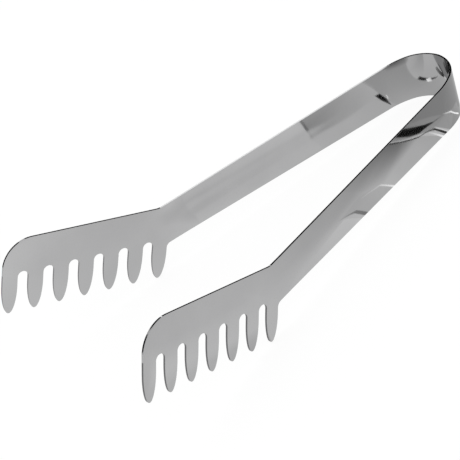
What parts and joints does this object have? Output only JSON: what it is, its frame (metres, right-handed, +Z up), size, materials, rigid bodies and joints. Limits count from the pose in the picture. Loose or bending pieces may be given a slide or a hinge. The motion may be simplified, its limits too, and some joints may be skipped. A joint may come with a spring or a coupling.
{
  "type": "spaghetti tongs",
  "caption": "One-piece polished stainless spring tongs: a bowed strip whose two arms end in toothed combs, squeezed to grip and lift long pasta.",
  "frame": {"origin": "middle of the resting footprint, on the table", "axes": "+Z up, +X towards the bow, so the combs point to -X and the user's left is -Y"},
  "size_m": [0.2008, 0.0894, 0.0533],
  "materials": {
    "polished_steel": "polished stainless strip with a fine lengthwise grain"
  },
  "bodies": {
    "bow": {"bow_spring": "polished_steel"},
    "left_jaw": {"left_arm": "polished_steel", "left_comb": "polished_steel"},
    "right_jaw": {"right_arm": "polished_steel", "right_comb": "polished_steel"}
  },
  "joints": [
    {"name": "right_squeeze", "type": "hinge", "parent": "bow", "child": "right_jaw", "pos_m": [0.09279, 0.01025, 0.01136], "axis": [0.0706, 0, 0.9975], "range_deg": [-3, 12.7], "stiffness_Nm_per_rad": 5, "deforming": ["bow_spring"]},
    {"name": "left_squeeze", "type": "hinge", "parent": "bow", "child": "left_jaw", "pos_m": [0.09279, -0.01025, 0.01136], "axis": [-0.0706, 0, -0.9975], "range_deg": [-3, 12.7], "stiffness_Nm_per_rad": 5, "deforming": ["bow_spring"]}
  ],
  "couplings": [
    {"joint": "left_squeeze", "follows": "right_squeeze", "ratio": 1}
  ]
}
